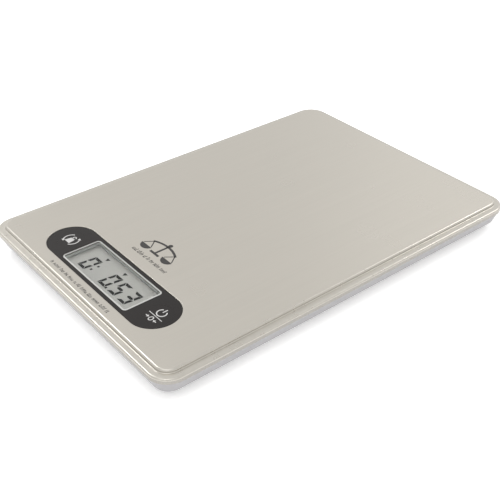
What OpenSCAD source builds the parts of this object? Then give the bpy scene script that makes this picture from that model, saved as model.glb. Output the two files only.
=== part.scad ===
// Slim electronic shop scale: steel weighing platform, display and keys at the front,
// and a load cell under each corner. The front is towards -Y, up is +Z, and Z = 0 is the
// surface that the rubber feet stand on.

/* [Body] */
// Width across the short front edge
body_w = 160; // [156:1:176]
// Length from front to back
body_l = 230; // [226:1:250]
// Height of the platform above the table
body_h = 15.5; // [15.3:0.1:16.5]
// Corner radius of the steel skirt in plan
corner_r = 11; // [10:0.5:13]
// Height of the base shell's underside above the table
foot_drop = 2.5; // [2.3:0.1:3]

/* [Steel platform] */
// Sheet thickness of the steel
skin_t = 0.5; // [0.4:0.05:0.6]
// Distance of the raised wall in from the skirt
step_in = 4.0; // [3.8:0.1:4.4]
// Drop from the platform to the ledge
step_h = 1.7; // [1.7:0.1:2.0]
// Drop from the ledge to the skirt's lower edge
skirt_h = 2.8; // [2.6:0.1:2.9]
// Bend radius at the platform's edge
top_round = 1.1; // [0.9:0.1:1.1]
// Bend radius at the ledge's edge
ledge_round = 1.0; // [0.9:0.1:1.2]

/* [Plastic shells] */
// Wall of the upper housing
housing_wall = 1.2; // [1.1:0.1:1.3]
// Wall of the base shell
base_wall = 1.6; // [1.4:0.1:1.8]
// Angle by which the base shell's side leans inward towards the table
base_draft = 22; // [18:1:24]
// Radius between the base shell's side and its underside
base_round = 3.4; // [3:0.1:3.6]

/* [Control panel] */
// Length of the pill-shaped panel cut-out
panel_l = 101; // [98:1:104]
// Width of the panel cut-out
panel_w = 26.4; // [26:0.2:27]
// Distance of the panel's centre from the front edge
panel_from_front = 25.2; // [25:0.1:26]
// Depth of the panel's face below the platform
panel_sink = 0.15; // [0.1:0.05:0.2]
// Panel thickness
panel_t = 1.0; // [0.9:0.1:1.1]
// Width of the display window
window_w = 58; // [56:1:58]
// Height of the display window
window_h = 22; // [20:0.5:22]
// Distance of the unit key to the left of the middle
unit_key_left = 38.5; // [38.5:0.5:40]
// Distance of the power key to the right of the middle
power_key_right = 41; // [38.5:0.5:41]
// Radius of the flexing zone of a key
key_r = 7.2; // [7:0.1:7.2]
// Travel of a key
key_travel = 0.25; // [0.2:0.05:0.3]

/* [Feet and cells] */
// Distance of a foot in from the side edge
foot_in_x = 18; // [18:0.5:20]
// Distance of a foot in from the front or back edge
foot_in_y = 19; // [19:0.5:21]
// Radius of a foot
foot_r = 9; // [8:0.5:9]
// Deflection of a load cell at full load
foot_travel = 0.2; // [0.1:0.05:0.25]
// Side of the square load cell
cell_size = 24; // [23:0.5:24]
// Sheet thickness of a load cell
cell_t = 1.2; // [1:0.1:1.3]

/* [Battery] */
// Radius of the coin cell
coin_r = 10; // [9:0.5:10]
// Thickness of the coin cell
coin_h = 3.2; // [2.5:0.1:3.2]
// Distance of the battery's centre from the front edge
battery_from_front = 67; // [66:1:76]
// Width of the battery door
door_w = 28; // [28:0.5:30]
// Length of the battery door
door_l = 35; // [34:0.5:36]

/* [Hidden] */
$fn = 64;
FRONT = -1;
REAR = 1;
LEFT = -1;
RIGHT = 1;
cut = 1;                    // how far a cutting tool runs past the face it cuts
root = 0.2;                 // how far a rib is sunk into the wall it stands on

// Heights, from the platform down
ledge_z = body_h - step_h;
skirt_z = ledge_z - skirt_h;
skirt_gap = 0.2;            // dark line between the skirt and the base shell
split_z = skirt_z - skirt_gap;
tape_t = 0.1;
housing_in = skin_t + tape_t;
shell_in = housing_in + housing_wall;
housing_z = body_h - housing_in;
ceiling_z = body_h - shell_in;
step_fillet = 0.5;

// Base shell
base_edge_in = skin_t;
base_floor_z = foot_drop + base_wall;
base_arc_z = foot_drop + base_round;
base_arc_x = corner_r - base_edge_in
    - (base_round + sin(base_draft) * (split_z - base_arc_z)) / cos(base_draft);
tongue_in = shell_in + 0.1;
tongue_t = 1.1;
tongue_rise = 0.8;

// Control panel and the keys under it
panel_y = panel_from_front - body_l / 2;
panel_gap = 0.15;
panel_top = body_h - panel_sink;
panel_bottom = panel_top - panel_t;
adhesive_t = 0.15;
pocket_z = panel_bottom - adhesive_t;
pocket_t = 1.3;
window_r = 2;
window_ledge = 1;           // ledge of the housing that the lens rests on
lens_gap = 0.05;
slit = 0.08;                // slit round a key's flexing zone
key_well_r = key_r + 0.5;
key_well_z = pocket_z - 1.2;
key_well_t = 0.5;
plunger_r = 6.5;
plunger_t = 0.95;
plunger_stem_r = 2.6;

// Display stack
lcd_z = pocket_z - 1.8;     // top of the front polarizer
polarizer_t = 0.2;
glass_t = 2;
glass_w = 64;
glass_l = 29;
polarizer_w = 61;
polarizer_l = 22.6;
glass_z = lcd_z - polarizer_t - glass_t;
board_z = glass_z - 2.1;    // top of the circuit board
board_t = 1.2;
board_w = 92;
board_l = 36;
frame_w = 68;
frame_l = 33;
frame_gap = 0.1;
zebra_w = 1.8;
zebra_l = 60;
zebra_y = 12.6;
switch_size = 6;
switch_h = 2.6;
stem_r = 1.7;
stem_out = 0.6;
board_screw_x = 43;
board_screw_y = 15;
board_screw_l = 3.4;
board_boss_r = 2.6;
screw_play = 0.02;
small_shank_r = 0.95;
small_head_r = 1.9;
small_head_h = 0.9;

// Screws that hold the two shells together
housing_screw_places = [
    [-68, -55], [68, -55], [-68, 62], [68, 62], [-24, 102], [24, 102]
];
shell_shank_r = 1.2;
shell_head_r = 2.4;
shell_head_h = 1.7;
shell_boss_r = 4.2;
shell_seat_z = foot_drop + 2.5;
shell_joint_z = foot_drop + 5.5;

// Load cells and feet
foot_x = body_w / 2 - foot_in_x;
foot_y = body_l / 2 - foot_in_y;
foot_hole_r = foot_r + 0.4;
cell_z = base_floor_z + 1.7;
cell_hole_at = cell_size / 2 - 2.2;
cell_post_r = 2.2;
tongue_w = 9;
slot_w = 1.5;
stud_r = 1.6;
stud_play = 0.3;
rivet_r = 2.6;
rivet_h = 0.6;
shoulder_r = 3.4;
pad_r = foot_r - 1.4;
pad_t = 1.6;
pad_out = 0.6;

// Battery
battery_y = battery_from_front - body_l / 2;
door_t = 1.2;
door_gap = 0.2;
hinge_in = 1;
hinge_y = battery_y + door_l / 2 - hinge_in;
hinge_z = foot_drop + door_t / 2 + 0.1;
hinge_pin_r = 0.5;
hinge_pin_out = 1.2;
coin_z = foot_drop + door_t + 0.3;
well_play = 0.25;
well_wall = 1.3;
well_top = coin_z + coin_h + 0.9;
contact_t = 0.3;
contact_w = 5;

// Leads
lead_r = 0.7;
lead_low = base_floor_z + 1.9;
lead_on_cell = cell_z + cell_t + lead_r + 0.1;
lead_on_board = board_z + lead_r;
lead_start_x = foot_x - cell_size / 2 + 4;

// A 2D profile, X outward from the corner's centre and Y up, taken round a rounded rectangle
module round_sweep(w, l, r) {
    for (k = [0:3]) {
        across = k % 2 == 0 ? w : l;
        along = k % 2 == 0 ? l : w;
        rotate([0, 0, 90 * k]) translate([across / 2 - r, along / 2 - r, 0]) {
            rotate([90, 0, 0]) linear_extrude(along - 2 * r) children();
            rotate_extrude(angle = 90) children();
        }
    }
}

// The rectangle inside the corners' centres, between two heights
module core(w, l, r, z0, z1) {
    translate([-(w / 2 - r), -(l / 2 - r), z0]) cube([w - 2 * r, l - 2 * r, z1 - z0]);
}

// A block in a profile, with its outer top edge rounded
module rounded_block(x, z0, z1, rad) {
    translate([0, z0]) square([x, z1 - z0 - rad]);
    translate([0, z0]) square([x - rad, z1 - z0]);
    translate([x - rad, z1 - rad]) circle(rad);
}

// Profile of everything under the steel's outer face, drawn inward by "inset"
module stepped_region(inset, z0) {
    fillet_r = step_fillet + inset;
    wall_x = corner_r - step_in;
    rounded_block(wall_x - inset, z0, body_h - inset, max(top_round - inset, 0.2));
    rounded_block(corner_r - inset, z0, ledge_z - inset, max(ledge_round - inset, 0.2));
    difference() {
        translate([wall_x - inset, ledge_z - inset]) square(fillet_r);
        translate([wall_x + step_fillet, ledge_z + step_fillet]) circle(fillet_r);
    }
}

// Profile of the base shell, drawn inward by "inset": a leaning side, an arc and a flat floor
module base_region(inset, z1) {
    arc_r = base_round - inset;
    side_x = base_arc_x + (arc_r + sin(base_draft) * (z1 - base_arc_z)) / cos(base_draft);
    polygon([
        [0, foot_drop + inset],
        [base_arc_x, foot_drop + inset],
        [base_arc_x + arc_r * cos(base_draft), base_arc_z - arc_r * sin(base_draft)],
        [side_x, z1],
        [0, z1]
    ]);
    translate([base_arc_x, base_arc_z]) circle(arc_r);
}

// A pill-shaped prism along X; "flare" widens it over its top "flare" millimetres
module pill(l, w, z0, z1, flare = 0) {
    straight = l - w;
    translate([0, 0, z0]) {
        for (side = [-1, 1]) translate([side * straight / 2, 0, 0]) cylinder(h = z1 - z0, d = w);
        translate([-straight / 2, -w / 2, 0]) cube([straight, w, z1 - z0]);
    }
    if (flare > 0) {
        for (side = [-1, 1]) translate([side * straight / 2, 0, z1 - flare])
            cylinder(h = flare, d1 = w, d2 = w + 2 * flare);
        translate([-straight / 2, 0, z1]) rotate([90, 0, 90]) linear_extrude(straight)
            polygon([[-w / 2, -flare], [w / 2, -flare], [w / 2 + flare, 0], [-w / 2 - flare, 0]]);
    }
}

// A rounded rectangular prism centred on Z
module plate(w, l, r, z0, z1) {
    translate([0, 0, z0]) linear_extrude(z1 - z0) {
        square([w - 2 * r, l], center = true);
        square([w, l - 2 * r], center = true);
        for (x = [-1, 1], y = [-1, 1]) translate([x * (w / 2 - r), y * (l / 2 - r)]) circle(r);
    }
}

// A cylinder between two heights
module rod(r, z0, z1) {
    translate([0, 0, z0]) cylinder(h = z1 - z0, r = r);
}

// A round wire through a list of points, with a slightly fuller bead at each bend
module wire(points, r) {
    bead_r = r + 0.1;
    for (i = [0:len(points) - 2]) {
        run = points[i + 1] - points[i];
        flat = norm([run[0], run[1]]);
        translate(points[i]) rotate([0, atan2(flat, run[2]), atan2(run[1], run[0])])
            cylinder(h = norm(run), r = r, $fn = 24);
        if (i > 0) translate(points[i]) sphere(bead_r, $fn = 24);
    }
}

// Places something at the centre of a corner's foot, mirrored so that its inside faces the middle
module at_foot(side, end) {
    translate([side * foot_x, end * foot_y, 0]) scale_mirror(side, end) children();
}

module scale_mirror(side, end) {
    mirror([side < 0 ? 1 : 0, 0, 0]) mirror([0, end < 0 ? 1 : 0, 0]) children();
}

module at_every_foot() {
    for (side = [LEFT, RIGHT], end = [FRONT, REAR]) at_foot(side, end) children();
}

module at_board_screws() {
    for (x = [-1, 1], y = [-1, 1]) translate([x * board_screw_x, panel_y + y * board_screw_y, 0])
        children();
}

module at_keys() {
    translate([-unit_key_left, panel_y, 0]) children();
    translate([power_key_right, panel_y, 0]) children();
}

// Pressed steel cover with its ledge and skirt
module platter_skin() {
    color("#c6c3bc") difference() {
        union() {
            round_sweep(body_w, body_l, corner_r) difference() {
                stepped_region(0, skirt_z);
                stepped_region(skin_t, skirt_z - cut);
            }
            core(body_w, body_l, corner_r, body_h - skin_t, body_h);
        }
        translate([0, panel_y, 0]) pill(panel_l, panel_w, body_h - skin_t - cut, body_h, 0.2);
    }
}

// Strips of double-sided tape between the steel and the upper housing
module skin_tape() {
    strip = 10;
    front = panel_y + panel_w / 2 + corner_r;
    rear = body_l / 2 - corner_r;
    run_x = body_w - 2 * corner_r - 2 * strip;
    color("#e8e4d8") {
        for (side = [-1, 1]) translate([side * run_x / 2 - strip / 2, front, housing_z])
            cube([strip, rear - front, tape_t]);
        for (y = [front, rear - strip]) translate([strip - run_x / 2, y, housing_z])
            cube([run_x - 2 * strip, strip, tape_t]);
        translate([-strip / 2, 0, housing_z]) cube([strip, body_l / 3, tape_t]);
    }
}

// Ribs under the ceiling of the upper housing
module ceiling_ribs() {
    rib_t = 1;
    rib_h = 1.8;
    side = 66;
    rear = body_l / 2 - 14;
    front = panel_y + 22;
    for (x = [-52, -26, 0, 26, 52]) translate([x - rib_t / 2, front, ceiling_z - rib_h])
        cube([rib_t, rear - front, rib_h + root]);
    for (y = [front, -30, 10, 50, rear]) translate([-side, y - rib_t / 2, ceiling_z - rib_h])
        cube([2 * side, rib_t, rib_h + root]);
}

// Moulded tray under the steel, with the panel's pocket, the display well and the key wells
module upper_housing() {
    color("#c9cbcd") difference() {
        union() {
            round_sweep(body_w, body_l, corner_r) difference() {
                stepped_region(housing_in, split_z);
                stepped_region(shell_in, split_z - cut);
            }
            core(body_w, body_l, corner_r, ceiling_z, housing_z);
            translate([0, panel_y, 0]) pill(
                panel_l + 2 * housing_wall, panel_w + 2 * housing_wall, pocket_z - pocket_t, housing_z
            );
            at_keys() rod(key_well_r + housing_wall, key_well_z - key_well_t, pocket_z);
            at_board_screws() rod(board_boss_r, board_z, ceiling_z);
            for (place = housing_screw_places) translate(place)
                rod(shell_boss_r - 1, shell_joint_z, ceiling_z);
            ceiling_ribs();
        }
        translate([0, panel_y, 0]) {
            pill(panel_l, panel_w, pocket_z, body_h);
            plate(
                window_w - 2 * window_ledge, window_h - 2 * window_ledge, window_r - 0.5,
                pocket_z - pocket_t - cut, body_h
            );
        }
        at_keys() {
            rod(key_well_r, key_well_z, body_h);
            rod(plunger_stem_r + 0.4, key_well_z - key_well_t - cut, body_h);
        }
        at_board_screws() rod(small_shank_r + screw_play, board_z - cut, board_z + board_screw_l + 0.2);
        for (place = housing_screw_places) translate(place)
            rod(shell_shank_r + screw_play, shell_joint_z - cut, ceiling_z - 0.5);
    }
}

// Dark overlay with the window opening and the two round key openings
module control_panel() {
    color("#3e3b3a") translate([0, panel_y, 0]) difference() {
        pill(panel_l - 2 * panel_gap, panel_w - 2 * panel_gap, panel_bottom, panel_top);
        plate(window_w, window_h, window_r, panel_bottom - cut, panel_top + cut);
        translate([0, -panel_y, 0]) at_keys() rod(key_r + slit, panel_bottom - cut, panel_top + cut);
    }
}

// Adhesive gasket that holds the overlay and the lens in the pocket
module panel_adhesive() {
    color("#8d8a80") translate([0, panel_y, 0]) difference() {
        pill(panel_l - 2, panel_w - 2, pocket_z, panel_bottom);
        plate(
            window_w - 2 * window_ledge + 0.4, window_h - 2 * window_ledge + 0.4, window_r - 0.5,
            pocket_z - cut, panel_bottom + cut
        );
        translate([0, -panel_y, 0]) at_keys() rod(key_well_r, pocket_z - cut, panel_bottom + cut);
    }
}

// Clear lens in the overlay's window opening
module display_window() {
    color("#dfe8e6", 0.4) translate([0, panel_y, 0]) plate(
        window_w - 2 * lens_gap, window_h - 2 * lens_gap, window_r - lens_gap, panel_bottom, panel_top
    );
}

// Flexing zone of the overlay over a key
module key_pad(x) {
    color("#444140") translate([x, panel_y, 0]) rod(key_r, panel_bottom, panel_top);
}

// Plunger that passes the press from the overlay to the switch
module key_plunger(x) {
    color("#e4e4e2") translate([x, panel_y, 0]) {
        rod(plunger_r, panel_bottom - plunger_t, panel_bottom);
        rod(plunger_stem_r, board_z + switch_h + stem_out, panel_bottom - plunger_t);
    }
}

// Body of a tactile switch with the bore that its stem slides in
module switch_body(x) {
    color("#2b2b2d") translate([x, panel_y, 0]) difference() {
        translate([-switch_size / 2, -switch_size / 2, board_z])
            cube([switch_size, switch_size, switch_h]);
        rod(stem_r + 0.1, board_z + 0.7, board_z + switch_h + cut);
    }
}

// Stem of a tactile switch
module switch_stem(x) {
    color("#a83a32") translate([x, panel_y, 0])
        rod(stem_r, board_z + 0.7 + key_travel + 0.1, board_z + switch_h + stem_out);
}

module lcd_front_polarizer() {
    color("#a9b0a4", 0.8) translate([0, panel_y, 0])
        plate(polarizer_w, polarizer_l, 0.5, lcd_z - polarizer_t, lcd_z);
}

module lcd_glass() {
    color("#b8c4bc", 0.7) translate([0, panel_y, 0])
        plate(glass_w, glass_l, 0.4, glass_z, glass_z + glass_t);
}

module lcd_reflector() {
    color("#b9bcb4") translate([0, panel_y, 0])
        plate(polarizer_w, polarizer_l, 0.5, glass_z - polarizer_t, glass_z);
}

// Frame that centres the glass over the board, with a slot for each zebra strip
module lcd_frame() {
    shelf_l = 2 * (zebra_y - zebra_w / 2) - 0.4;
    color("#d9dbdc") translate([0, panel_y, 0]) {
        difference() {
            plate(frame_w, frame_l, 1, board_z, glass_z + glass_t);
            plate(glass_w + 2 * frame_gap, glass_l + 2 * frame_gap, 0.4, board_z - cut, lcd_z + cut);
        }
        translate([-glass_w / 2 - 1, -shelf_l / 2, glass_z - 1.3]) cube([glass_w + 2, shelf_l, 1]);
    }
}

// Two conductive elastomer strips between the glass and the board
module zebra_strips() {
    color("#4a4a50") for (side = [-1, 1])
        translate([-zebra_l / 2, panel_y + side * zebra_y - zebra_w / 2, board_z])
            cube([zebra_l, zebra_w, glass_z - board_z]);
}

module main_board() {
    color("#2f6b3c") difference() {
        translate([0, panel_y, 0]) plate(board_w, board_l, 1, board_z - board_t, board_z);
        at_board_screws() rod(small_shank_r + 0.1, board_z - board_t - cut, board_z + cut);
    }
}

// Resin cap over the bonded controller chip, on the board's lower face
module controller_blob() {
    blob_r = 5.5;
    blob_h = 1.3;
    dome_r = (blob_r * blob_r + blob_h * blob_h) / (2 * blob_h);
    color("#17171a") translate([-8, panel_y - 2, board_z - board_t]) rotate_extrude() intersection() {
        translate([0, dome_r - blob_h]) circle(dome_r, $fn = 200);
        translate([0, -blob_h]) square([blob_r, blob_h]);
    }
}

// Low can of the clock crystal
module crystal() {
    color("#c9c9c4") translate([10, panel_y + 4, 0])
        plate(8, 3.2, 1.5, board_z - board_t - 1.2, board_z - board_t);
}

// A row of chip parts on the board's lower face
module chips(count, start, pitch, size, paint) {
    color(paint) for (i = [0:count - 1])
        translate([start[0] + i * pitch, start[1], board_z - board_t - size[2]]) cube(size);
}

module chip_capacitors() {
    chips(6, [-28, panel_y + 8], 4, [2, 1.25, 0.8], "#b08a5a");
}

module chip_resistors() {
    chips(8, [-20, panel_y - 12], 4.5, [1.6, 0.8, 0.5], "#1e1e20");
}

// Screw with its head at the bottom, from its seat upward
module screw(shank_r, head_r, head_h, seat, tip) {
    color("#9a9a98") difference() {
        union() {
            rod(head_r, seat - head_h, seat);
            rod(shank_r, seat, tip);
        }
        for (turn = [0, 90]) rotate([0, 0, turn]) translate([-head_r * 0.6, -0.25, seat - head_h - cut])
            cube([head_r * 1.2, 0.5, cut + head_h * 0.5]);
    }
}

module board_screws() {
    at_board_screws()
        screw(small_shank_r, small_head_r, small_head_h, board_z - board_t, board_z + board_screw_l);
}

module housing_screws() {
    for (place = housing_screw_places) translate(place)
        screw(shell_shank_r, shell_head_r, shell_head_h, shell_seat_z, ceiling_z - 1);
}

// Stamped load cell: a square frame with a tongue that carries the foot
module load_cell(side, end) {
    half = cell_size / 2;
    tongue_root = -half + 6;
    tongue_l = tongue_w + 4.5;
    color("#a8a49a") at_foot(side, end) difference() {
        plate(cell_size, cell_size, 1.5, cell_z, cell_z + cell_t);
        for (y = [-1, 1]) translate([tongue_root, y * (tongue_w + slot_w) / 2 - slot_w / 2, cell_z - cut])
            cube([tongue_l, slot_w, cell_t + 2 * cut]);
        translate([tongue_root + tongue_l, -tongue_w / 2 - slot_w, cell_z - cut])
            cube([slot_w, tongue_w + 2 * slot_w, cell_t + 2 * cut]);
        rod(stud_r + stud_play, cell_z - cut, cell_z + cell_t + cut);
        for (x = [-1, 1], y = [-1, 1]) translate([x, y, 0] * cell_hole_at)
            rod(small_shank_r + 0.1, cell_z - cut, cell_z + cell_t + cut);
    }
}

// Foil gauge on the root of each cell's tongue
module strain_gauges() {
    color("#c9a063") at_every_foot() translate([-cell_size / 2 + 2.2, -1.6, cell_z + cell_t])
        cube([5.6, 3.2, 0.1]);
}

module at_cell_screws() {
    for (corner = [[-1, 1], [1, -1]]) translate(corner * cell_hole_at) children();
}

// Two screws per cell, heads on the cell
module cell_screws() {
    seat = cell_z + cell_t;
    color("#9a9a98") at_every_foot() at_cell_screws() difference() {
        union() {
            rod(small_head_r, seat, seat + small_head_h);
            rod(small_shank_r, foot_drop + 0.9, seat);
        }
        for (turn = [0, 90]) rotate([0, 0, turn])
            translate([-0.6 * small_head_r, -0.25, seat + small_head_h / 2])
                cube([1.2 * small_head_r, 0.5, cut]);
    }
}

// Moulded foot: a cap that holds the pad, a shoulder and a riveted stud through the tongue
module foot_cap(side, end) {
    color("#8f9296") translate([side * foot_x, end * foot_y, 0]) difference() {
        union() {
            rod(foot_r, pad_out, cell_z - 0.9);
            rod(shoulder_r, cell_z - 0.9, cell_z - foot_travel - 0.1);
            rod(stud_r, cell_z - foot_travel - 0.1, cell_z + cell_t);
            rod(rivet_r, cell_z + cell_t, cell_z + cell_t + rivet_h);
        }
        rod(pad_r + 0.05, pad_out - cut, pad_t);
    }
}

// Rubber pad with a rounded lower edge
module foot_pad(side, end) {
    edge = 0.4;
    color("#2e2e30") translate([side * foot_x, end * foot_y, 0]) rotate_extrude() {
        translate([0, edge]) square([pad_r, pad_t - edge]);
        square([pad_r - edge, pad_t]);
        translate([pad_r - edge, edge]) circle(edge);
    }
}

// Lead of a front load cell, straight across to its solder bead on the board
module front_cell_lead(side) {
    color("#d8d8d4") wire([
        [side * lead_start_x, -foot_y, lead_on_cell],
        [side * 44.5, -foot_y, lead_on_board + 0.25]
    ], lead_r);
}

// Lead of a rear load cell, along the floor and up to the top of the board
module rear_cell_lead(side) {
    aisle_x = 47.5;
    color("#d8d8d4") wire([
        [side * lead_start_x, foot_y, lead_on_cell],
        [side * aisle_x, foot_y, lead_on_cell],
        [side * aisle_x, foot_y - 8, lead_low],
        [side * aisle_x, panel_y + 30, lead_low],
        [side * 38, panel_y + 22, lead_on_board + 0.1],
        [side * 38, panel_y + 15.5, lead_on_board]
    ], lead_r);
}

// Coin cell: a can with a slightly smaller raised cap on its upper, negative side
module coin_cell() {
    color("#c4c4c0") translate([0, battery_y, 0]) {
        rod(coin_r, coin_z, coin_z + coin_h - 0.5);
        rod(coin_r - 1.2, coin_z, coin_z + coin_h);
    }
}

// Spring strip that presses on the side of the can, bent over the well's wall
module contact_positive() {
    top = well_top + 0.1;
    color("#c8b26a") translate([0, battery_y, 0]) {
        translate([coin_r, -contact_w / 2, coin_z]) cube([contact_t, contact_w, top - coin_z]);
        translate([coin_r, -contact_w / 2, top]) cube([6, contact_w, contact_t]);
    }
}

// Leaf across the well that presses on the negative cap
module contact_negative() {
    half = 4;
    low = coin_z + coin_h;
    top = well_top + 0.1;
    color("#c8b26a") translate([0, battery_y - contact_w / 2, 0]) {
        translate([-half, 0, low]) cube([2 * half, contact_w, contact_t]);
        translate([-half - contact_t, 0, low]) cube([contact_t, contact_w, top - low]);
        translate([-15, 0, top]) cube([15 - half, contact_w, contact_t]);
    }
}

// Leads from the battery contacts to the top of the board
module battery_lead(side) {
    top = well_top + 0.1 + contact_t;
    paint = side > 0 ? "#a52a22" : "#26262a";
    color(paint) mirror([side < 0 ? 1 : 0, 0, 0]) wire([
        [14.5, battery_y, top + lead_r],
        [19, battery_y - 8, top + lead_r],
        [19, panel_y + 19.5, lead_on_board + 0.2],
        [19, panel_y + 17.4, lead_on_board]
    ], lead_r);
}

// Low ribs on the floor of the base shell
module floor_ribs() {
    rib_t = 1;
    rib_h = 1;
    side = 70;
    for (x = [-30, 30]) translate([x - rib_t / 2, panel_y, base_floor_z - root])
        cube([rib_t, body_l - panel_from_front - 14, rib_h + root]);
    for (y = [-20, 20, 60]) translate([-side, y - rib_t / 2, base_floor_z - root])
        cube([2 * side, rib_t, rib_h + root]);
}

// A cylinder along X on the battery door's hinge line
module hinge_rod(l, r) {
    translate([-l / 2, hinge_y, hinge_z]) rotate([0, 90, 0]) cylinder(h = l, r = r);
}

// Recess for the battery door, with room for its swinging rear edge and its pins
module door_recess() {
    recess_w = door_w + 2 * door_gap;
    edge_sweep = norm([hinge_in, hinge_z - foot_drop]);
    translate([-recess_w / 2, battery_y - door_l / 2 - door_gap, foot_drop - cut])
        cube([recess_w, door_l + 3 * door_gap, cut + door_t + 0.15]);
    hinge_rod(recess_w, edge_sweep + 0.1);
    hinge_rod(recess_w + 2 * hinge_pin_out, hinge_pin_r + 0.06);
}

// Raised floor over the battery door
module door_bed() {
    margin = 2;
    translate([-door_w / 2 - margin, battery_y - door_l / 2 - margin, foot_drop])
        cube([door_w + 2 * margin, door_l + 2 * margin, door_t + 1.4]);
}

// Bottom shell with its leaning sides, tongue, battery well, cell posts and screw bosses
module base_shell() {
    color("#c3c5ce") difference() {
        union() {
            round_sweep(body_w, body_l, corner_r) difference() {
                union() {
                    base_region(0, split_z);
                    translate([corner_r - tongue_in - tongue_t, split_z - 2.2])
                        square([tongue_t, 2.2 + tongue_rise]);
                }
                base_region(base_wall, split_z - 2.2);
                translate([0, split_z - 2.3]) square([corner_r - tongue_in - tongue_t, 4]);
            }
            core(body_w, body_l, corner_r, foot_drop, base_floor_z);
            floor_ribs();
            door_bed();
            translate([0, battery_y, 0]) rod(coin_r + well_play + well_wall, foot_drop, well_top);
            for (place = housing_screw_places) translate(place) rod(shell_boss_r, foot_drop, shell_joint_z);
            at_every_foot() for (x = [-1, 1], y = [-1, 1]) translate([x, y, 0] * cell_hole_at)
                rod(cell_post_r, foot_drop + base_wall / 2, cell_z);
        }
        door_recess();
        translate([0, battery_y, 0]) {
            rod(coin_r + well_play, foot_drop - cut, well_top + cut);
            translate([coin_r - cut, -contact_w / 2 - 0.2, coin_z - 0.3])
                cube([cut + contact_t + 0.2, contact_w + 0.4, well_top]);
        }
        for (place = housing_screw_places) translate(place) {
            rod(shell_head_r + 0.3, foot_drop - cut, shell_seat_z);
            rod(shell_shank_r + 0.2, foot_drop - cut, shell_joint_z + cut);
        }
        at_every_foot() {
            rod(foot_hole_r, foot_drop - cut, base_floor_z + cut);
            at_cell_screws() rod(small_shank_r + screw_play, foot_drop + 0.8, cell_z + cut);
        }
    }
}

// Battery cover with a finger recess at its front and a pin at each end of its rear edge
module battery_door() {
    color("#bcbec8") difference() {
        union() {
            translate([-door_w / 2, battery_y - door_l / 2, foot_drop]) cube([door_w, door_l, door_t]);
            hinge_rod(door_w + 2 * hinge_pin_out, hinge_pin_r);
        }
        translate([0, battery_y - door_l / 2 + 4, foot_drop - 5.4]) sphere(6);
    }
}

// Blank label plate on the underside
module rating_label() {
    color("#d6d7da") translate([0, 25, 0]) plate(60, 30, 2, foot_drop - 0.1, foot_drop);
}

platter_skin();
skin_tape();
upper_housing();
control_panel();
panel_adhesive();
display_window();
key_pad(-unit_key_left);  // unit_key_pad
key_pad(power_key_right);  // power_key_pad
key_plunger(-unit_key_left);  // unit_key_plunger
key_plunger(power_key_right);  // power_key_plunger
switch_body(-unit_key_left);  // unit_switch_body
switch_body(power_key_right);  // power_switch_body
switch_stem(-unit_key_left);  // unit_switch_stem
switch_stem(power_key_right);  // power_switch_stem
lcd_front_polarizer();
lcd_glass();
lcd_reflector();
lcd_frame();
zebra_strips();
main_board();
controller_blob();
crystal();
chip_capacitors();
chip_resistors();
board_screws();
load_cell(LEFT, FRONT);  // load_cell_front_left
load_cell(RIGHT, FRONT);  // load_cell_front_right
load_cell(LEFT, REAR);  // load_cell_rear_left
load_cell(RIGHT, REAR);  // load_cell_rear_right
strain_gauges();
cell_screws();
foot_cap(LEFT, FRONT);  // foot_cap_front_left
foot_cap(RIGHT, FRONT);  // foot_cap_front_right
foot_cap(LEFT, REAR);  // foot_cap_rear_left
foot_cap(RIGHT, REAR);  // foot_cap_rear_right
foot_pad(LEFT, FRONT);  // foot_pad_front_left
foot_pad(RIGHT, FRONT);  // foot_pad_front_right
foot_pad(LEFT, REAR);  // foot_pad_rear_left
foot_pad(RIGHT, REAR);  // foot_pad_rear_right
front_cell_lead(LEFT);  // cell_lead_front_left
front_cell_lead(RIGHT);  // cell_lead_front_right
rear_cell_lead(LEFT);  // cell_lead_rear_left
rear_cell_lead(RIGHT);  // cell_lead_rear_right
coin_cell();
contact_positive();
contact_negative();
battery_lead(RIGHT);  // battery_lead_positive
battery_lead(LEFT);  // battery_lead_negative
base_shell();
battery_door();
housing_screws();
rating_label();
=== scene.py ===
import math
import random

import bmesh
import bpy
from mathutils import Matrix, Vector


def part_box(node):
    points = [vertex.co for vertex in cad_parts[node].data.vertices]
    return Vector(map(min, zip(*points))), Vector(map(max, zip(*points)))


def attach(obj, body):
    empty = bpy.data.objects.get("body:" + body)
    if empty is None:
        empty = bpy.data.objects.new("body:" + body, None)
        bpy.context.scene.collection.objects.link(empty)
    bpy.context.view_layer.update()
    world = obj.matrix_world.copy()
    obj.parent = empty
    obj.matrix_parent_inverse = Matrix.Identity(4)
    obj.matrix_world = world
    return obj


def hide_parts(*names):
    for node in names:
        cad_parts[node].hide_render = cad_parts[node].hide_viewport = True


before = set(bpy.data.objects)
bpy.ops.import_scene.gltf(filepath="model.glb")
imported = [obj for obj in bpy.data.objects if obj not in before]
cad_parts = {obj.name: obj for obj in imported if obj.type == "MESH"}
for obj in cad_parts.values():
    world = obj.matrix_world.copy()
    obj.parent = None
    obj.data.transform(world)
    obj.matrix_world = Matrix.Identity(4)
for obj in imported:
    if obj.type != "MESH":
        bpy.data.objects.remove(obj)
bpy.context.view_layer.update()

MM = 0.001
random.seed(7)


class Place:
    """The lowest and highest corner of a CAD node, in millimetres."""

    def __init__(self, node):
        low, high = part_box(node)
        self.low = low / MM
        self.high = high / MM
        self.size = self.high - self.low
        self.mid = (self.high + self.low) / 2


skin = Place("platter_skin")
panel = Place("control_panel")
lens = Place("display_window")
unit_key = Place("unit_key_pad")
power_key = Place("power_key_pad")
polarizer = Place("lcd_front_polarizer")
label = Place("rating_label")

# ---------------------------------------------------------------- outlines

CORNER_STEPS = 20


def arc(centre, radius, start, end, steps):
    """Points along an arc between two angles in degrees."""
    angles = [math.radians(start + (end - start) * i / steps) for i in range(steps + 1)]
    return [(centre[0] + radius * math.cos(a), centre[1] + radius * math.sin(a)) for a in angles]


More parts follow.
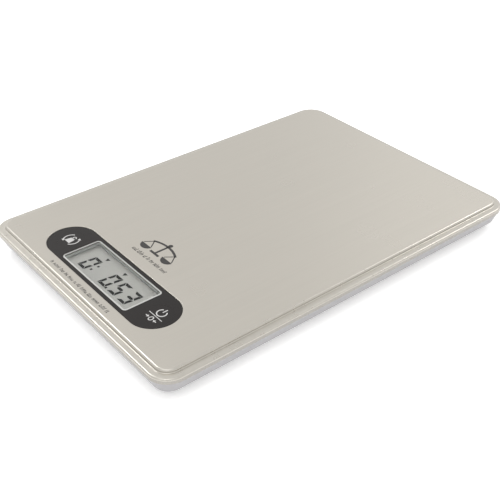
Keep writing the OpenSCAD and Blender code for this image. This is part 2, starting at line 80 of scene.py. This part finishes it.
def rounded_rect(width, length, radius, centre=(0, 0)):
    """A function that draws the outline, grown outward by some amount."""

    def loop(grow=0.0):
        points = []
        for turn, (sx, sy) in enumerate(((1, 1), (-1, 1), (-1, -1), (1, -1))):
            hub = (
                centre[0] + sx * (width / 2 - radius),
                centre[1] + sy * (length / 2 - radius),
            )
            points += arc(hub, radius + grow, 90 * turn, 90 * turn + 90, CORNER_STEPS)
        return [
            p for i, p in enumerate(points)
            if math.dist(p, points[i - 1]) > 1e-4
        ]

    return loop


def disc(radius, centre=(0, 0), steps=72):
    """A function that draws a circle, grown outward by some amount."""

    def loop(grow=0.0):
        return arc(centre, radius + grow, 0, 360, steps)[:-1]

    return loop


# ---------------------------------------------------------------- mesh making

class Builder:
    """Collects loops of vertices, in millimetres, and the faces between them."""

    def __init__(self):
        self.bm = bmesh.new()

    def loop(self, points, z):
        return [self.bm.verts.new((x * MM, y * MM, z * MM)) for x, y in points]

    def bridge(self, a, b, paint=0):
        for i in range(len(a)):
            j = (i + 1) % len(a)
            self.bm.faces.new((a[i], a[j], b[j], b[i])).material_index = paint

    def sweep(self, outline, profile, paint=lambda grow, z: 0):
        """An outline drawn at each (grow, z) of a profile, with walls between."""
        loops = [self.loop(outline(grow), z) for grow, z in profile]
        for k in range(len(loops) - 1):
            grow = (profile[k][0] + profile[k + 1][0]) / 2
            z = (profile[k][1] + profile[k + 1][1]) / 2
            self.bridge(loops[k], loops[k + 1], paint(grow, z))
        return loops

    def fill(self, loops, paint=0):
        """One flat face inside the first loop, with the other loops as holes."""
        edges = []
        for loop in loops:
            for i, v in enumerate(loop):
                pair = (loop[i - 1], v)
                edges.append(self.bm.edges.get(pair) or self.bm.edges.new(pair))
        made = bmesh.ops.triangle_fill(self.bm, use_beauty=True, edges=edges, normal=(0, 0, 1))
        for face in made["geom"]:
            if isinstance(face, bmesh.types.BMFace):
                face.material_index = paint

    def prism(self, points, low, high):
        a = self.loop(points, low)
        b = self.loop(points, high)
        self.bridge(a, b)
        self.bm.faces.new(b)
        self.bm.faces.new(a[::-1])

    def ribbon(self, points, width, low, high, closed=False):
        """A flat stroke of even width along a line of points."""
        left, right = [], []
        count = len(points)
        for i, p in enumerate(points):
            before = points[i - 1] if closed or i > 0 else p
            after = points[(i + 1) % count] if closed or i < count - 1 else p
            steps = [
                Vector((b[0] - a[0], b[1] - a[1])).normalized()
                for a, b in ((before, p), (p, after)) if a != b
            ]
            along = sum(steps, Vector((0, 0))).normalized()
            reach = width / 2 / max(along.dot(steps[0]), 0.5)
            side = Vector((-along.y, along.x)) * reach
            left.append((p[0] + side.x, p[1] + side.y))
            right.append((p[0] - side.x, p[1] - side.y))
        for i in range(count if closed else count - 1):
            j = (i + 1) % count
            corners = [left[i], left[j], right[j], right[i]]
            low_face = self.loop(corners, low)
            high_face = self.loop(corners, high)
            self.bm.faces.new(high_face)
            self.bm.faces.new(low_face[::-1])
            for k in (0, 2):
                self.bm.faces.new((low_face[k], low_face[k + 1], high_face[k + 1], high_face[k]))
            if not closed and i == 0:
                self.bm.faces.new((low_face[3], low_face[0], high_face[0], high_face[3]))
            if not closed and i == count - 2:
                self.bm.faces.new((low_face[1], low_face[2], high_face[2], high_face[1]))
        bmesh.ops.remove_doubles(self.bm, verts=self.bm.verts, dist=1e-7)

    def lathe(self, profile, centre, steps=64):
        """A closed profile of (radius, z) turned round a vertical line."""
        loops = [
            self.loop(disc(max(r, 0.001), centre, steps)(), z) for r, z in profile
        ]
        for a, b in zip(loops, loops[1:]):
            self.bridge(a, b)
        self.fill([loops[0]])
        self.fill([loops[-1]])

    def done(self, name, materials, sharp=35):
        bmesh.ops.recalc_face_normals(self.bm, faces=self.bm.faces)
        mesh = bpy.data.meshes.new(name)
        self.bm.to_mesh(mesh)
        self.bm.free()
        for material in materials:
            mesh.materials.append(material)
        for polygon in mesh.polygons:
            polygon.use_smooth = True
        mesh.set_sharp_from_angle(angle=math.radians(sharp))
        piece = bpy.data.objects.new(name, mesh)
        bpy.context.scene.collection.objects.link(piece)
        weighted = piece.modifiers.new("even_normals", "WEIGHTED_NORMAL")
        weighted.keep_sharp = True
        return piece


def rounded_edge(wall, high, radius, steps=4):
    """Profile points from a wall, round an edge of some radius, onto the flat at "high"."""
    return arc((wall - radius, high - radius), radius, 0, 90, steps)


def slab(name, materials, outline, low, high, holes=(), edge=0.0):
    """A flat closed piece with a softened upper edge; each hole comes with its wall's paint."""
    builder = Builder()
    rim = rounded_edge(0, high, edge) if edge else [(0, high)]
    walls = [builder.sweep(outline, [(0, low)] + rim)]
    for hole, shade in holes:
        walls.append(
            builder.sweep(hole, [(0, low), (0, high)], lambda grow, z, shade=shade: shade)
        )
    builder.fill([loops[0] for loops in walls])
    builder.fill([loops[-1] for loops in walls])
    return builder.done(name, materials)


# ---------------------------------------------------------------- materials

class Finish:
    """A Principled material with the noise that drives its colour, roughness and relief."""

    def __init__(self, name, colour, roughness, **fixed):
        self.material = bpy.data.materials.new(name)
        self.material.use_nodes = True
        self.tree = self.material.node_tree
        self.shader = self.tree.nodes["Principled BSDF"]
        self.colour = colour
        self.shader.inputs["Base Color"].default_value = (*colour, 1)
        self.shader.inputs["Roughness"].default_value = roughness
        for socket, value in fixed.items():
            socket = socket.replace("_", " ").title().replace("Ior", "IOR")
            self.shader.inputs[socket].default_value = value
        self.where = self.tree.nodes.new("ShaderNodeTexCoord")

    def link(self, source, target):
        self.tree.links.new(source, target)

    def noise(self, grain, detail=2.0, stretch=(1, 1, 1), offset=0.0):
        """Noise with features about "grain" millimetres across, stretched along an axis."""
        mapping = self.tree.nodes.new("ShaderNodeMapping")
        mapping.inputs["Location"].default_value = (offset, offset, offset)
        mapping.inputs["Scale"].default_value = tuple(1 / (grain * MM * s) for s in stretch)
        self.link(self.where.outputs["Object"], mapping.inputs["Vector"])
        texture = self.tree.nodes.new("ShaderNodeTexNoise")
        texture.inputs["Scale"].default_value = 1
        texture.inputs["Detail"].default_value = detail
        self.link(mapping.outputs["Vector"], texture.inputs["Vector"])
        return texture.outputs["Fac"]

    def cell_edges(self, grain):
        """Distance to the edges of random cells about "grain" millimetres across."""
        mapping = self.tree.nodes.new("ShaderNodeMapping")
        mapping.inputs["Scale"].default_value = (1 / (grain * MM),) * 3
        self.link(self.where.outputs["Object"], mapping.inputs["Vector"])
        texture = self.tree.nodes.new("ShaderNodeTexVoronoi")
        texture.feature = "DISTANCE_TO_EDGE"
        texture.inputs["Scale"].default_value = 1
        self.link(mapping.outputs["Vector"], texture.inputs["Vector"])
        return texture.outputs["Distance"]

    def span(self, fac, low, high, start=0.3, end=0.7):
        """The part of a value from start to end, stretched from low to high."""
        node = self.tree.nodes.new("ShaderNodeMapRange")
        node.inputs["From Min"].default_value = start
        node.inputs["From Max"].default_value = end
        node.inputs["To Min"].default_value = low
        node.inputs["To Max"].default_value = high
        self.link(fac, node.inputs["Value"])
        return node.outputs["Result"]

    def tint(self, fac, spread, other=None, start=0.3, end=0.7):
        """Colour that goes from darker to lighter by "spread", or to another colour."""
        ramp = self.tree.nodes.new("ShaderNodeValToRGB")
        ramp.color_ramp.elements[0].position = start
        ramp.color_ramp.elements[1].position = end
        dark = tuple(c * (1 - spread) for c in self.colour)
        light = other or tuple(min(c * (1 + spread), 1) for c in self.colour)
        ramp.color_ramp.elements[0].color = (*dark, 1)
        ramp.color_ramp.elements[1].color = (*light, 1)
        self.link(fac, ramp.inputs["Fac"])
        self.link(ramp.outputs["Color"], self.shader.inputs["Base Color"])
        return self

    def gloss(self, fac, low, high):
        """Roughness that wanders between two values."""
        self.link(self.span(fac, low, high), self.shader.inputs["Roughness"])
        return self

    def relief(self, fac, depth, strength=1.0):
        """Bump with a depth in millimetres; a second one rides on the first."""
        bump = self.tree.nodes.new("ShaderNodeBump")
        bump.inputs["Distance"].default_value = depth * MM
        bump.inputs["Strength"].default_value = strength
        self.link(fac, bump.inputs["Height"])
        normal = self.shader.inputs["Normal"]
        if normal.is_linked:
            self.link(normal.links[0].from_socket, bump.inputs["Normal"])
        self.link(bump.outputs["Normal"], normal)
        return self

    def soften(self, radius):
        """Rounds hard CAD edges in the shading, by a radius in millimetres."""
        bevel = self.tree.nodes.new("ShaderNodeBevel")
        bevel.samples = 4
        bevel.inputs["Radius"].default_value = radius * MM
        self.link(bevel.outputs["Normal"], self.shader.inputs["Normal"])
        return self


def brushed_steel(name, colour, roughness):
    f = Finish(name, colour, roughness, metallic=1, anisotropic=0.55)
    tangent = f.tree.nodes.new("ShaderNodeTangent")
    tangent.direction_type = "UV_MAP"
    tangent.uv_map = "grain"
    f.link(tangent.outputs["Tangent"], f.shader.inputs["Tangent"])
    lines = f.noise(0.16, 3, (1, 260, 1))
    streaks = f.noise(1.4, 2, (1, 70, 1), 3)
    f.tint(streaks, 0.014, start=0.25, end=0.75)
    f.gloss(f.noise(28, 3, offset=11), roughness - 0.03, roughness + 0.04)
    f.relief(f.noise(60, 1, offset=5), 0.08, 0.25)
    f.relief(lines, 0.0007, 0.3)
    return f.material


def polished_steel(name, colour, roughness):
    f = Finish(name, colour, roughness, metallic=1)
    f.tint(f.noise(3, 2), 0.02)
    f.gloss(f.noise(6, 3), roughness - 0.03, roughness + 0.05)
    f.relief(f.noise(0.8, 3), 0.001, 0.25)
    return f.material


def metal(name, colour, roughness, grain=0.3, stretch=(1, 1, 1), depth=0.004):
    """Stamped or machined metal with a fine grain, dull patches and softened edges."""
    f = Finish(name, colour, roughness, metallic=1)
    f.soften(0.08)
    f.tint(f.noise(2.5, 4, offset=2), 0.08)
    f.gloss(f.noise(1.2, 4, offset=4), roughness - 0.07, roughness + 0.1)
    f.relief(f.noise(grain, 3, stretch), depth, 0.5)
    return f.material


def moulded(name, colour, roughness, grain=0.22, depth=0.006, spread=0.025, **fixed):
    """Moulded plastic: spark-eroded grain, faint flow marks and softened edges."""
    f = Finish(name, colour, roughness, **fixed)
    f.soften(0.15)
    f.tint(f.noise(14, 4, (1, 2.5, 1)), spread)
    f.gloss(f.noise(5, 3, offset=6), roughness - 0.05, roughness + 0.07)
    f.relief(f.noise(7, 2, offset=9), 0.02, 0.25)
    f.relief(f.noise(grain, 3), depth, 0.55)
    return f.material


def rubber(name, colour, roughness):
    f = Finish(name, colour, roughness, sheen_weight=0.08)
    f.tint(f.noise(1.5, 4), 0.18)
    f.gloss(f.noise(0.8, 3, offset=2), roughness - 0.08, roughness + 0.08)
    f.relief(f.noise(0.12, 4), 0.01, 0.7)
    return f.material


def film(name, colour, roughness, **fixed):
    """Printed or laminated film with a very fine satin grain and faint rub marks."""
    f = Finish(name, colour, roughness, **fixed)
    f.tint(f.noise(9, 4), 0.03)
    f.gloss(f.noise(3, 5, (1, 3, 1), 4), roughness - 0.05, roughness + 0.06)
    f.relief(f.noise(0.09, 2), 0.0025, 0.45)
    return f.material


def board_laminate(name, colour, roughness):
    """Solder mask over copper: traces show as slightly raised, lighter cells."""
    f = Finish(name, colour, roughness, coat_weight=0.3, coat_roughness=0.2)
    traces = f.cell_edges(2.2)
    f.tint(traces, 0.12, tuple(min(c * 1.7, 1) for c in colour), 0.02, 0.09)
    f.gloss(f.noise(4, 3), roughness - 0.06, roughness + 0.08)
    f.relief(f.span(traces, 1, 0, 0.02, 0.1), 0.03, 0.5)
    f.relief(f.noise(0.12, 2), 0.002, 0.5)
    return f.material


def layered_rubber(name, colour, roughness):
    """Thin conducting and insulating layers side by side."""
    f = Finish(name, colour, roughness)
    bands = f.noise(0.12, 0, (1, 400, 400))
    f.tint(bands, 0.7, tuple(min(c * 3, 1) for c in colour), 0.45, 0.55)
    f.gloss(f.noise(1, 2), roughness - 0.05, roughness + 0.05)
    f.relief(bands, 0.01, 0.4)
    return f.material


def clear_lens(name, colour, roughness):
    f = Finish(name, colour, roughness, transmission_weight=1, ior=1.17)
    f.relief(f.noise(12, 1), 0.004, 0.15)
    return f.material


def glass(name, colour, roughness):
    f = Finish(name, colour, roughness, transmission_weight=0.6, ior=1.52)
    f.tint(f.noise(8, 2), 0.02)
    f.relief(f.noise(10, 1), 0.003, 0.2)
    return f.material


finishes = {
    "platform_steel": brushed_steel("platform_steel", (0.56, 0.53, 0.475), 0.3),
    "polished_bend": polished_steel("polished_bend", (0.53, 0.505, 0.455), 0.29),
    # Painted shade: the skirt is the same steel as the bends, given a darker copy so its outward
    # faces look shaded
    "shaded_skirt_steel": polished_steel("shaded_skirt_steel", (0.37, 0.352, 0.325), 0.26),
    "adhesive": film("adhesive", (0.72, 0.7, 0.62), 0.5),
    "housing_plastic": moulded("housing_plastic", (0.5, 0.52, 0.5), 0.42, grain=0.16, depth=0.003),
    "panel_plastic": film("panel_plastic", (0.0105, 0.008, 0.007), 0.36, specular_ior_level=0.26),
    "window_clear": clear_lens("window_clear", (0.985, 0.985, 0.98), 0.02),
    "plunger_plastic": moulded("plunger_plastic", (0.75, 0.75, 0.73), 0.4),
    "switch_plastic": moulded("switch_plastic", (0.02, 0.02, 0.022), 0.4, grain=0.1),
    "stem_plastic": moulded("stem_plastic", (0.4, 0.05, 0.03), 0.38, grain=0.1),
    "lcd_film": film("lcd_film", (0.43, 0.43, 0.405), 0.45),
    "lcd_glass": glass("lcd_glass", (0.7, 0.8, 0.74), 0.05),
    "elastomer": layered_rubber("elastomer", (0.05, 0.05, 0.055), 0.7),
    "board": board_laminate("board", (0.02, 0.12, 0.04), 0.35),
    "resin": moulded("resin", (0.008, 0.008, 0.009), 0.3, grain=0.8, depth=0.02),
    "crystal_can": metal("crystal_can", (0.62, 0.61, 0.58), 0.28, 0.2, (8, 1, 1)),
    "chip_ceramic": moulded("chip_ceramic", (0.28, 0.19, 0.11), 0.45, grain=0.08, depth=0.004),
    "screw_steel": metal("screw_steel", (0.42, 0.41, 0.4), 0.32, 0.1),
    "cell_steel": metal("cell_steel", (0.5, 0.48, 0.44), 0.36, 0.25, (1, 14, 1)),
    "gauge_foil": metal("gauge_foil", (0.62, 0.4, 0.16), 0.35, 0.08, (6, 1, 1)),
    "foot_plastic": moulded("foot_plastic", (0.27, 0.28, 0.3), 0.5),
    "foot_rubber": rubber("foot_rubber", (0.022, 0.022, 0.024), 0.75),
    "lead_grey": moulded("lead_grey", (0.65, 0.65, 0.63), 0.45, grain=0.3),
    "lead_red": moulded("lead_red", (0.38, 0.025, 0.02), 0.45, grain=0.3),
    "lead_black": moulded("lead_black", (0.018, 0.018, 0.02), 0.45, grain=0.3),
    "coin_can": metal("coin_can", (0.6, 0.59, 0.56), 0.24, 0.15),
    "contact_metal": metal("contact_metal", (0.66, 0.52, 0.24), 0.3, 0.12, (1, 10, 1)),
    "base_plastic": moulded("base_plastic", (0.37, 0.362, 0.372), 0.4, grain=0.26, depth=0.003),
    "label_film": film("label_film", (0.6, 0.6, 0.62), 0.35),
    # Painted highlight: opaque pale grey for light caught on the lens bevel and the window walls
    "window_edge_highlight": film("window_edge_highlight", (0.5, 0.5, 0.48), 0.3),
    "segment_ink": film("segment_ink", (0.003, 0.003, 0.003), 0.6, specular_ior_level=0.2),
    "key_print": film("key_print", (0.52, 0.51, 0.5), 0.45),
    "steel_print": film("steel_print", (0.022, 0.02, 0.018), 0.5),
    "small_print": film("small_print", (0.06, 0.057, 0.052), 0.55),
}


def add(piece, body, slot, *nodes):
    if nodes:
        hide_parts(*nodes)
    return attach(piece, body)


# ---------------------------------------------------------------- CAD nodes keep their shape

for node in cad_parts.values():
    for place in node.material_slots:
        place.material = finishes[place.material.name.split(".")[0]]

# ---------------------------------------------------------------- steel platform

SHEET = 0.5
CORNER_R = 11
STEP_IN = 4.0
STEP_H = 1.7
TOP_BEND = 1.1
LEDGE_BEND = 1.0
FILLET = 0.5
PILL_LIP = 0.2
PRINT_H = 0.02


def steel_platform():
    """Pressed sheet: skirt, ledge, raised wall and flat top, outside and inside."""
    top = skin.high.z - PRINT_H / 2
    ledge = skin.high.z - STEP_H
    low = skin.low.z
    outline = rounded_rect(skin.size.x, skin.size.y, CORNER_R)
    panel_gap = 0.15
    hole = rounded_rect(
        panel.size.x + 2 * panel_gap, panel.size.y + 2 * panel_gap,
        panel.size.y / 2 + panel_gap, panel.mid.xy,
    )
    builder = Builder()

    def pressed(depth):
        """Half of the sheet's section, drawn "depth" under its outer face."""
        ledge_hub = (-LEDGE_BEND, ledge - LEDGE_BEND)
        fillet_hub = (FILLET - STEP_IN, ledge + FILLET)
        top_hub = (-STEP_IN - TOP_BEND, top - TOP_BEND)
        return (
            [(-depth, low)]
            + arc(ledge_hub, LEDGE_BEND - depth, 0, 90, 8)
            + arc(fillet_hub, FILLET + depth, 270, 180, 6)
            + arc(top_hub, TOP_BEND - depth, 0, 90, 10)
        )

    # Faces below the ledge bend take the darker steel copy, which is painted shade on the skirt;
    # the rest take the polished bend
    def paint(grow, z):
        return 2 if z < ledge - LEDGE_BEND else 1

    outer = builder.sweep(outline, pressed(0), paint)
    inner = builder.sweep(outline, pressed(SHEET), paint)
    builder.bridge(outer[0], inner[0], 1)
    lip = [(PILL_LIP, top)] + arc((PILL_LIP, top - PILL_LIP), PILL_LIP, 90, 180, 4)[1:]
    rim = builder.sweep(hole, lip + [(0, top - SHEET)], lambda grow, z: 1)
    builder.fill([outer[-1], rim[0]])
    builder.fill([inner[-1], rim[-1]])
    piece = builder.done(
        "steel_platform",
        [finishes[paint] for paint in ("platform_steel", "polished_bend", "shaded_skirt_steel")],
    )
    grain = piece.data.uv_layers.new(name="grain")
    for corner in piece.data.loops:
        grain.data[corner.index].uv = piece.data.vertices[corner.vertex_index].co.xy
    return piece


add(steel_platform(), "body", "platform_steel", "platter_skin")

# ---------------------------------------------------------------- control panel and lens

KEY_SLIT = 0.03


def panel_overlay():
    """Dark film with a window whose walls are painted pale grey as a painted highlight, and a
    round opening over each key.
    """
    window = rounded_rect(lens.size.x + 0.1, lens.size.y + 0.1, 2, lens.mid.xy)
    keys = [disc(key.size.x / 2 + KEY_SLIT, key.mid.xy) for key in (unit_key, power_key)]
    return slab(
        "panel_overlay", [finishes["panel_plastic"], finishes["window_edge_highlight"]],
        rounded_rect(panel.size.x, panel.size.y, panel.size.y / 2, panel.mid.xy),
        panel.low.z, panel.high.z, holes=[(window, 1)] + [(key, 0) for key in keys], edge=0.2,
    )


add(panel_overlay(), "body", "panel_plastic", "control_panel")

WINDOW_BORDER = 0.85
WINDOW_BEVEL = 0.3


def window_lens():
    """Clear sheet with a bevelled border painted opaque pale grey: a painted highlight where the
    edge catches light.
    """
    builder = Builder()
    outline = rounded_rect(lens.size.x, lens.size.y, 1.95, lens.mid.xy)
    profile = [
        (0, lens.low.z), (0, lens.high.z - WINDOW_BEVEL),
        (-0.15, lens.high.z - WINDOW_BEVEL / 3), (-WINDOW_BORDER, lens.high.z),
    ]
    loops = builder.sweep(outline, profile, lambda grow, z: 1)
    builder.fill([loops[0]])
    builder.fill([loops[-1]])
    return builder.done("window_lens", [finishes["window_clear"], finishes["window_edge_highlight"]])


add(window_lens(), "body", "window_clear", "display_window")

for key, node, body in (
    (unit_key, "unit_key_pad", "unit_key"),
    (power_key, "power_key_pad", "power_key"),
):
    pad = slab(
        body + "_zone", [finishes["panel_plastic"]],
        disc(key.size.x / 2, key.mid.xy), key.low.z, key.high.z,
    )
    add(pad, body, "panel_plastic", node)

# ---------------------------------------------------------------- display digits

DIGIT_W = 6.2
DIGIT_H = 10.5
STROKE = 1.6
GAP = 0.17
SLANT = math.tan(math.radians(7))
SEGMENTS = {"0": "abcdef", "5": "acdfg", "3": "abcdg"}


def segment_shapes():
    """The seven bars of a digit, from its lower left corner, with mitred ends."""
    w, h, t, g = DIGIT_W, DIGIT_H, STROKE, GAP
    mid = h / 2
    top = [(g, h), (w - g, h), (w - t - g, h - t), (t + g, h - t)]
    upper_left = [(0, h - g), (t, h - t - g), (t, mid + t / 2 + g), (0, mid + g)]
    middle = [
        (g + t / 2, mid), (t + g, mid + t / 2), (w - t - g, mid + t / 2),
        (w - t / 2 - g, mid), (w - t - g, mid - t / 2), (t + g, mid - t / 2),
    ]

    def flip_x(points):
        return [(w - x, y) for x, y in points]

    def flip_y(points):
        return [(x, h - y) for x, y in points]

    return {
        "a": top, "d": flip_y(top), "f": upper_left, "b": flip_x(upper_left),
        "e": flip_y(upper_left), "c": flip_x(flip_y(upper_left)), "g": middle,
    }


def display_digits():
    shapes = segment_shapes()
    builder = Builder()
    low = polarizer.high.z
    foot = lens.mid.y - 6.8

    def put(points, x, y=foot):
        slanted = [(x + px + py * SLANT, y + py) for px, py in points]
        builder.prism(slanted, low, low + 0.03)

    for x, digit in ((-21.4, "0"), (-2.3, "0"), (6.5, "5"), (15.3, "3")):
        for name in SEGMENTS[digit]:
            put(shapes[name], x)
    dot = [(0, 0), (1.2, 0), (1.2, 1.2), (0, 1.2)]
    for y in (2.3, 6.2):
        put([(px, py + y) for px, py in dot], -13.7)
    put(dot, 4.2)
    mark = [(-1.3, 1.2), (1.3, 1.2), (0, -1)]
    for x in (-14.4, 1.6):
        put([(px, py + 13) for px, py in mark], x - 1.5)
    return builder.done("display_digits", [finishes["segment_ink"]])


add(display_digits(), "body", "lcd_film")

# ---------------------------------------------------------------- printed signs


def moved(points, centre):
    return [(x + centre[0], y + centre[1]) for x, y in points]


def swap_weight_sign(centre, low):
    """A plain weight inside two turning arrows: change of unit."""
    builder = Builder()
    high = low + PRINT_H
    builder.prism(moved([(-2.1, -2.7), (2.1, -2.7), (1.5, 0.9), (-1.5, 0.9)], centre), low, high)
    builder.ribbon(moved(arc((0, 1.9), 0.95, 0, 330, 20), centre), 0.5, low, high)
    for turn in (0, 180):
        builder.ribbon(moved(arc((0, 0), 4.3, turn - 55, turn + 42, 24), centre), 0.6, low, high)
        tip = math.radians(turn + 62)
        head = [
            (4.3 * math.cos(tip), 4.3 * math.sin(tip)),
            *[
                (r * math.cos(math.radians(turn + 42)), r * math.sin(math.radians(turn + 42)))
                for r in (3.3, 5.3)
            ],
        ]
        builder.prism(moved(head, centre), low, high)
    return builder.done("unit_key_sign", [finishes["key_print"]])


def power_zero_sign(centre, low):
    """The standard power sign over a line, and below it arrows closing on a zero."""
    builder = Builder()
    high = low + PRINT_H
    hub = (0, 1.8)
    builder.ribbon(moved(arc(hub, 2.45, 125, 415, 40), centre), 0.62, low, high)
    builder.ribbon(moved([(0, 2.3), (0, 5.1)], centre), 0.62, low, high)
    builder.ribbon(moved([(-5, -1.7), (5, -1.7)], centre), 0.4, low, high)
    zero = [(0.75 * x, y - 4.2) for x, y in arc((0, 0), 1.35, 0, 360, 24)[:-1]]
    builder.ribbon(moved(zero, centre), 0.5, low, high, closed=True)
    for side in (-1, 1):
        builder.ribbon(moved([(side * 4, -4.2), (side * 2.9, -4.2)], centre), 0.5, low, high)
        head = [(side * 1.7, -4.2), (side * 2.9, -3.3), (side * 2.9, -5.1)]
        builder.prism(moved(head, centre), low, high)
    return builder.done("power_key_sign", [finishes["key_print"]])


add(swap_weight_sign(unit_key.mid.xy, unit_key.high.z), "unit_key", "panel_plastic")
add(power_zero_sign(power_key.mid.xy, power_key.high.z), "power_key", "panel_plastic")


def balance_sign(centre):
    """A beam balance, printed dark on the steel behind the panel."""
    builder = Builder()
    low, high = skin.high.z - PRINT_H, skin.high.z
    builder.ribbon(moved([(-3.6, -4.9), (3.6, -4.9)], centre), 1.4, low, high)
    builder.ribbon(moved([(0, -4.4), (0, 3.4)], centre), 1.3, low, high)
    builder.ribbon(moved(arc((0, -17), 20.6, 62, 118, 20), centre), 1.3, low, high)
    builder.prism(moved(disc(1.3, (0, 5.1), 20)(), centre), low, high)
    for side in (-1, 1):
        hook = (side * 9, 1.3)
        for spread in (-3.3, 3.3):
            builder.ribbon(moved([hook, (hook[0] + spread, -3)], centre), 0.6, low, high)
        builder.prism(moved(arc((hook[0], -2.6), 4.1, 190, 350, 16), centre), low, high)
    return builder.done("balance_sign", [finishes["steel_print"]])


def fine_print(name, finish, start, end, y, height):
    """A line of slanted strokes in small groups, standing where fine print would be."""
    builder = Builder()
    low = skin.high.z - PRINT_H
    stroke, pitch = 0.42, 0.9
    x = start
    while x < end:
        for k in range(random.randint(2, 6)):
            tall = height * random.choice((0.65, 0.8, 1))
            lean = tall * SLANT
            builder.prism(
                [(x, y), (x + stroke, y), (x + stroke + lean, y + tall), (x + lean, y + tall)],
                low, low + PRINT_H,
            )
            if random.random() < 0.6:
                rise = y + tall * random.choice((0, 0.45, 0.8))
                builder.prism(
                    [
                        (x + stroke, rise), (x + pitch, rise),
                        (x + pitch, rise + stroke), (x + stroke, rise + stroke),
                    ],
                    low, low + PRINT_H,
                )
            x += pitch
        x += pitch
    return builder.done(name, [finishes[finish]])


for piece in (
    balance_sign((-1, -59)),
    fine_print("maker_line", "steel_print", -12.5, 12, -70, 2.4),
    fine_print("range_line", "small_print", -28, 24, -107.8, 1.9),
):
    add(piece, "body", "platform_steel")

# ---------------------------------------------------------------- feet, label

RING_PITCH = 1.9
RING_DEPTH = 0.18


def grip_pad(corner):
    """Rubber pad with three grooves turned into its face."""
    pad = Place("foot_pad_" + corner)
    radius = pad.size.x / 2
    face = [(0, 0)]
    for k in (2, 1, 0):
        r = radius - 1.1 - RING_PITCH * k
        face += [(r - 0.8, 0), (r - 0.6, RING_DEPTH), (r - 0.2, RING_DEPTH), (r, 0)]
    rim = arc((radius - 0.4, 0.4), 0.4, 270, 360, 5)
    builder = Builder()
    builder.lathe(face + rim + [(radius, pad.high.z), (0, pad.high.z)], pad.mid.xy)
    return builder.done("grip_pad_" + corner, [finishes["foot_rubber"]])


for corner in ("front_left", "front_right", "rear_left", "rear_right"):
    add(grip_pad(corner), "foot_" + corner, "foot_rubber", "foot_pad_" + corner)


def label_rules():
    """A frame and four ruled lines on the blank label."""
    low, high = label.low.z - 0.01, label.low.z + 0.01
    border = rounded_rect(label.size.x - 4, label.size.y - 4, 1.5, label.mid.xy)()
    builder = Builder()
    builder.ribbon(border, 0.35, low, high, closed=True)
    for k in range(4):
        y = label.mid.y + 8 - 5.2 * k
        end = label.mid.x + (24 if k % 2 == 0 else 12)
        builder.ribbon([(label.mid.x - 24, y), (end, y)], 0.5, low, high)
    return builder.done("label_rules", [finishes["small_print"]])


add(label_rules(), "body", "label_film")

# ---------------------------------------------------------------- floor, light and camera


def floor():
    f = Finish("studio_floor", (0.93, 0.93, 0.92), 0.6)
    f.tint(f.noise(300, 2), 0.01)
    f.gloss(f.noise(80, 2), 0.55, 0.65)
    f.shader.inputs["Emission Color"].default_value = (1, 1, 1, 1)
    f.shader.inputs["Emission Strength"].default_value = 0.3
    bpy.ops.mesh.primitive_plane_add(size=8)
    ground = bpy.context.object
    ground.name = "studio_floor"
    ground.data.materials.append(f.material)


def softbox(name, place, power, size, target=(0, 0, 0)):
    """A square area lamp in metres, turned to face the target."""
    lamp = bpy.data.lights.new(name, "AREA")
    lamp.size = size
    lamp.energy = power
    holder = bpy.data.objects.new(name, lamp)
    holder.location = place
    aim = Vector(target) - Vector(place)
    holder.rotation_euler = aim.to_track_quat("-Z", "Y").to_euler()
    bpy.context.scene.collection.objects.link(holder)


def camera():
    """At the photograph's angle: turned, raised, then shifted a little across its view."""
    turn, rise, roll = math.radians(51.12), math.radians(34.48), math.radians(-0.142)
    back = Vector((
        math.sin(turn) * math.cos(rise), -math.cos(turn) * math.cos(rise), math.sin(rise)
    ))
    level = Vector((math.cos(turn), math.sin(turn), 0))
    over = back.cross(level)
    right = level * math.cos(roll) + over * math.sin(roll)
    up = over * math.cos(roll) - level * math.sin(roll)
    lens_data = bpy.data.cameras.new("camera")
    lens_data.sensor_width = 36
    lens_data.lens = 64.43
    lens_data.clip_start = 0.01
    eye = bpy.data.objects.new("camera", lens_data)
    spot = (right * -2.368 + up * -11.78 + back * 487.1 + Vector((0, 0, 4.7))) * MM
    eye.matrix_world = Matrix.Translation(spot) @ Matrix((right, up, back)).transposed().to_4x4()
    bpy.context.scene.collection.objects.link(eye)
    bpy.context.scene.camera = eye


floor()
world = bpy.data.worlds.new("studio")
world.use_nodes = True
world.node_tree.nodes["Background"].inputs["Color"].default_value = (1, 1, 1, 1)
world.node_tree.nodes["Background"].inputs["Strength"].default_value = 0.95
bpy.context.scene.world = world
softbox("left_box", (-1.17, -0.1, 1.37), 6, 0.5)
softbox("rear_box", (0.13, 1.36, 1.17), 4.2, 0.5)
softbox("far_box", (-0.84, 1.57, 1.04), 0.4, 0.9)
softbox("top_box", (0.5, -0.7, 1.8), 5, 1.2)
camera()
bpy.context.scene.view_settings.view_transform = "Standard"
